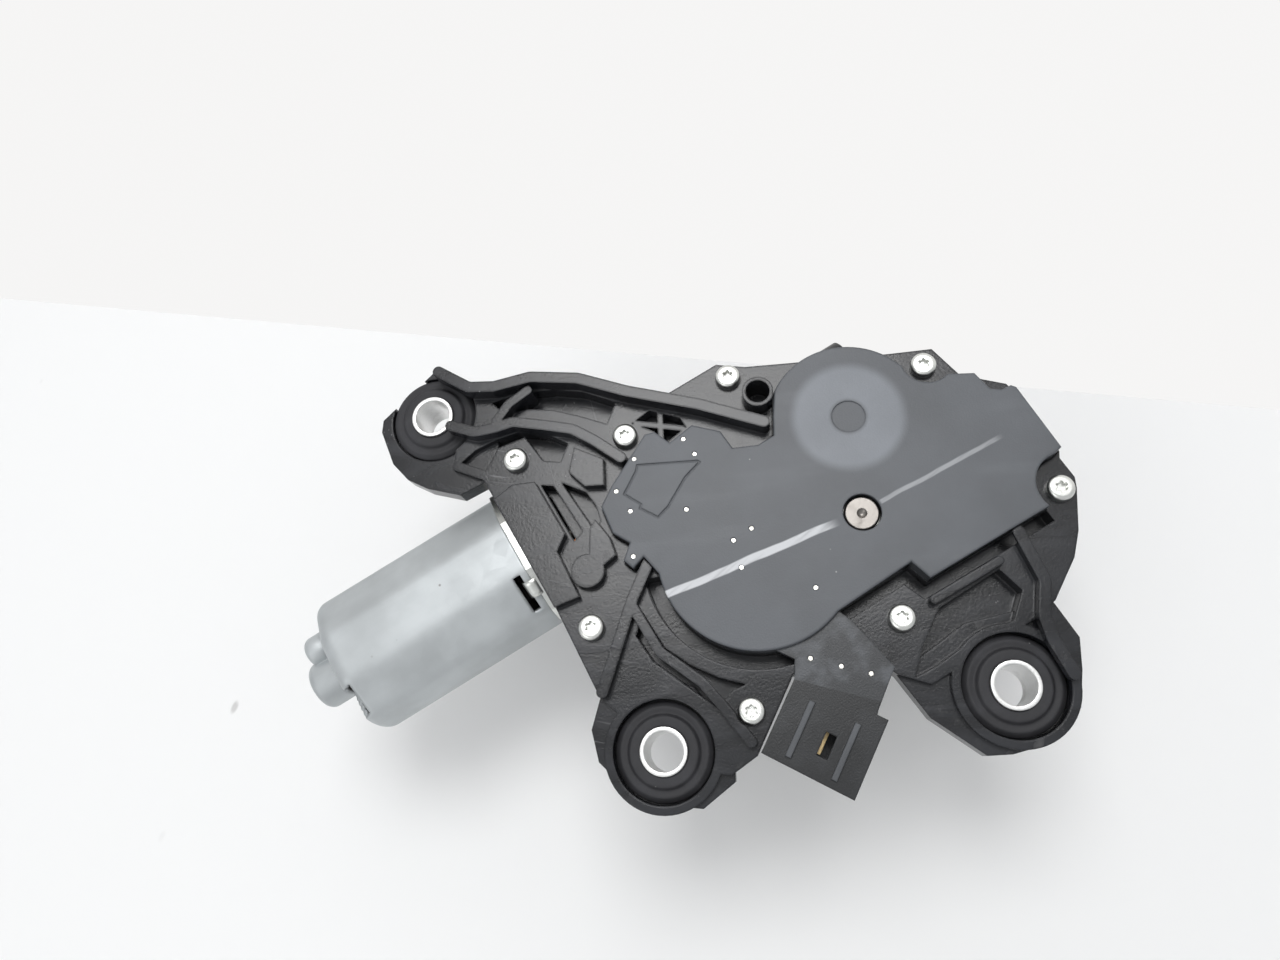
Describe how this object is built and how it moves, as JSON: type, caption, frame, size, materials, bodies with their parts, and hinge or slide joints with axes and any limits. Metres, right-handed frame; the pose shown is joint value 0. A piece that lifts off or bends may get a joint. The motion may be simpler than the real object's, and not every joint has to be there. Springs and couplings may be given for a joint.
{
  "type": "rear window wiper motor",
  "caption": "Rear window wiper motor: worm gear motor whose crank, segment and pinion swing an output spindle, with rubber mounted ears and a moulded connector.",
  "frame": {"origin": "output spindle's axis at the end of the spindle tube, where the exposed shank begins", "axes": "+X along the motor from its can to the gears, +Z from the spindle's tip to the rear cover"},
  "size_m": [0.206, 0.1726, 0.081],
  "materials": {
    "housing_plastic": "black glass-filled plastic, glossy",
    "frame_plastic": "black glass-filled plastic, satin gloss",
    "cover_plastic": "dark grey plastic, satin",
    "can_steel": "zinc plated drawn steel, dull",
    "bright_steel": "bright zinc plated steel",
    "spindle_steel": "ground steel",
    "sleeve_aluminium": "turned aluminium",
    "mount_rubber": "black rubber, matt",
    "seal_rubber": "black rubber",
    "contact_brass": "stamped brass, tinned",
    "copper_wire": "enamelled copper wire",
    "bush_bronze": "sintered bronze",
    "core_iron": "laminated electrical steel",
    "magnet_ferrite": "sintered ferrite",
    "gear_plastic": "natural acetal",
    "holder_plastic": "black moulded plastic",
    "brush_carbon": "copper graphite",
    "component_body": "dipped resin"
  },
  "bodies": {
    "housing": {"gear_housing": "housing_plastic", "mounting_frame": "frame_plastic", "rear_cover": "cover_plastic", "conductor_tracks": "contact_brass", "connector_pins": "contact_brass", "motor_can": "can_steel", "motor_end_plate": "bright_steel", "left_grommet": "mount_rubber", "lower_grommet": "mount_rubber", "right_grommet": "mount_rubber", "mounting_sleeves": "sleeve_aluminium", "housing_screws": "bright_steel", "cover_seal": "seal_rubber", "housing_gasket": "seal_rubber", "upper_bush": "bush_bronze", "lower_bush": "bush_bronze", "shaft_seal": "seal_rubber", "thrust_washer": "gear_plastic", "wheel_axle": "spindle_steel", "park_contacts": "contact_brass", "field_magnets": "magnet_ferrite", "brush_holder": "holder_plastic", "carbon_brushes": "brush_carbon", "brush_springs": "bright_steel", "brush_leads": "copper_wire", "suppression_chokes": "copper_wire", "suppression_capacitor": "component_body", "rear_bearing": "bush_bronze", "bearing_clip": "bright_steel", "front_bearing": "bush_bronze", "thrust_screw": "bright_steel"},
    "armature": {"worm_shaft": "spindle_steel", "armature_core": "core_iron", "armature_windings": "copper_wire", "commutator": "contact_brass", "thrust_ball": "bright_steel"},
    "wheel": {"worm_wheel": "gear_plastic", "crank_pin": "spindle_steel", "contact_ring": "contact_brass"},
    "spindle": {"output_spindle": "spindle_steel", "spindle_pinion": "spindle_steel", "spindle_circlip": "bright_steel", "lower_circlip": "bright_steel"},
    "rocker": {"rocker_plate": "spindle_steel", "pivot_pin": "spindle_steel"},
    "coupler": {"segment_coupler": "spindle_steel"}
  },
  "joints": [
    {"name": "armature_spin", "type": "hinge", "parent": "housing", "child": "armature", "pos_m": [0, 0.043, 0.0305], "axis": [1, 0, 0], "continuous": true},
    {"name": "wheel_spin", "type": "hinge", "parent": "housing", "child": "wheel", "pos_m": [0.012, 0.0235, 0.0305], "axis": [0, 0, 1], "continuous": true},
    {"name": "spindle_sweep", "type": "hinge", "parent": "housing", "child": "spindle", "pos_m": [0, 0, 0.02], "axis": [0, 0, 1], "range_deg": [-124.28, 0]},
    {"name": "rocker_swing", "type": "hinge", "parent": "housing", "child": "rocker", "pos_m": [0, 0, 0.042], "axis": [0, 0, 1], "range_deg": [-53.01, 0]},
    {"name": "coupler_swing", "type": "hinge", "parent": "rocker", "child": "coupler", "pos_m": [-0.02436, -0.00562, 0.039], "axis": [0, 0, 1], "range_deg": [0, 27.73]}
  ],
  "couplings": [
    {"joint": "wheel_spin", "follows": "armature_spin", "ratio": 0.020833},
    {"joint": "rocker_swing", "follows": "spindle_sweep", "ratio": 0.42645},
    {"joint": "coupler_swing", "follows": "spindle_sweep", "ratio": -0.22305}
  ]
}
